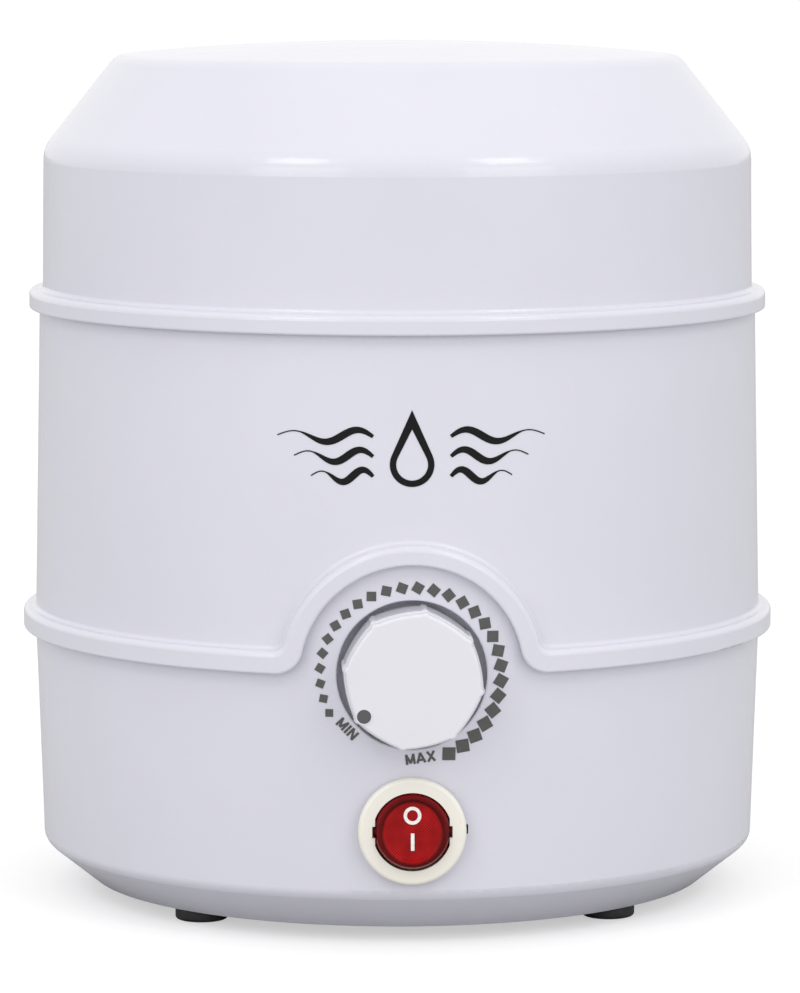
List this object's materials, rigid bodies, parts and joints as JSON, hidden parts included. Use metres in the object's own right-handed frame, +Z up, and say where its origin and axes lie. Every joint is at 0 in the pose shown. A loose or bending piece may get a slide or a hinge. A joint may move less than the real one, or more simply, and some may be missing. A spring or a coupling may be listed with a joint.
{
  "type": "paraffin wax bath",
  "caption": "Round table-top paraffin wax bath: lift-off lid, lift-out aluminium pot with a bail, heated well, heat dial and lit rocker switch on rubber feet.",
  "frame": {"origin": "middle of the footprint, on the plane the rubber feet stand on", "axes": "+Z up along the tub's axis, -Y towards the dial and switch, +X to the right as seen from the front"},
  "size_m": [0.1688, 0.183, 0.1902],
  "materials": {
    "casing_white": "glossy white moulding with a faint cool tint",
    "knob_white": "glossy white",
    "base_white": "fine-textured moulding",
    "foot_rubber": "matt black",
    "aluminium_spun": "spun, satin",
    "steel_plated": "zinc plated",
    "steel_polished": "polished wire",
    "brass": "turned",
    "copper_alloy": "contact strip",
    "ceramic": "unglazed ceramic insulator",
    "mica_band": "mica sheet in a thin steel skin",
    "glass_wool": "needled glass-fibre blanket",
    "bezel_ivory": "ivory nylon",
    "rocker_red": "translucent red",
    "lamp_glass": "clear glass capsule",
    "pointer_grey": "dark grey",
    "gland_white": "nylon",
    "block_natural": "natural nylon",
    "fuse_body": "drawn capsule",
    "lead_brown": "silicone sleeve",
    "lead_blue": "silicone sleeve",
    "lead_earth": "green sleeve with a yellow stripe"
  },
  "bodies": {
    "casing": {"upper_casing": "casing_white", "lower_casing": "casing_white", "deck": "casing_white", "base_plate": "base_white", "feet": "foot_rubber", "foot_screws": "steel_plated", "casing_screws": "steel_plated", "deck_screws": "steel_plated", "heating_well": "aluminium_spun", "heater_band": "mica_band", "heater_tabs": "brass", "band_clamp": "steel_plated", "insulation": "glass_wool", "thermostat_bracket": "steel_plated", "thermostat_insulators": "ceramic", "bimetal_blade": "copper_alloy", "contact_blade": "copper_alloy", "thermostat_rivet": "steel_plated", "thermostat_bush": "brass", "thermostat_nut": "brass", "thermostat_screw": "steel_plated", "switch_body": "bezel_ivory", "switch_terminals": "brass", "cord_gland": "gland_white", "gland_nut": "gland_white", "terminal_block": "block_natural", "terminal_screws": "steel_plated", "thermal_fuse": "fuse_body", "fuse_clip": "steel_plated", "earth_lug": "brass", "well_screws": "steel_plated", "live_lead": "lead_brown", "lamp_lead": "lead_blue", "switched_lead": "lead_brown", "thermostat_lead": "lead_brown", "fuse_lead": "lead_brown", "neutral_lead": "lead_blue", "earth_lead": "lead_earth"},
    "pot": {"pot": "aluminium_spun", "bail_ears": "steel_plated", "bail_rivets": "steel_plated"},
    "bail": {"bail_handle": "steel_polished"},
    "lid": {"lid": "casing_white"},
    "dial": {"knob": "knob_white", "knob_spring": "steel_plated", "knob_pointer": "pointer_grey", "dial_shaft": "brass"},
    "rocker": {"rocker": "rocker_red", "switch_lamp": "lamp_glass"}
  },
  "joints": [
    {"name": "pot_lift", "type": "slide", "parent": "casing", "child": "pot", "axis": [0, 0, 1], "range_m": [0, 0.11]},
    {"name": "bail_swing", "type": "hinge", "parent": "pot", "child": "bail", "pos_m": [0, 0, 0.1277], "axis": [1, 0, 0], "range_deg": [0, 180]},
    {"name": "lid_lift", "type": "slide", "parent": "pot", "child": "lid", "axis": [0, 0, 1], "range_m": [0, 0.08]},
    {"name": "knob_turn", "type": "hinge", "parent": "casing", "child": "dial", "pos_m": [0, -0.08, 0.0591], "axis": [0, 1, 0], "range_deg": [0, 280]},
    {"name": "rocker_tilt", "type": "hinge", "parent": "casing", "child": "rocker", "pos_m": [0, -0.08105, 0.0258], "axis": [1, 0, 0], "range_deg": [0, 18]}
  ]
}
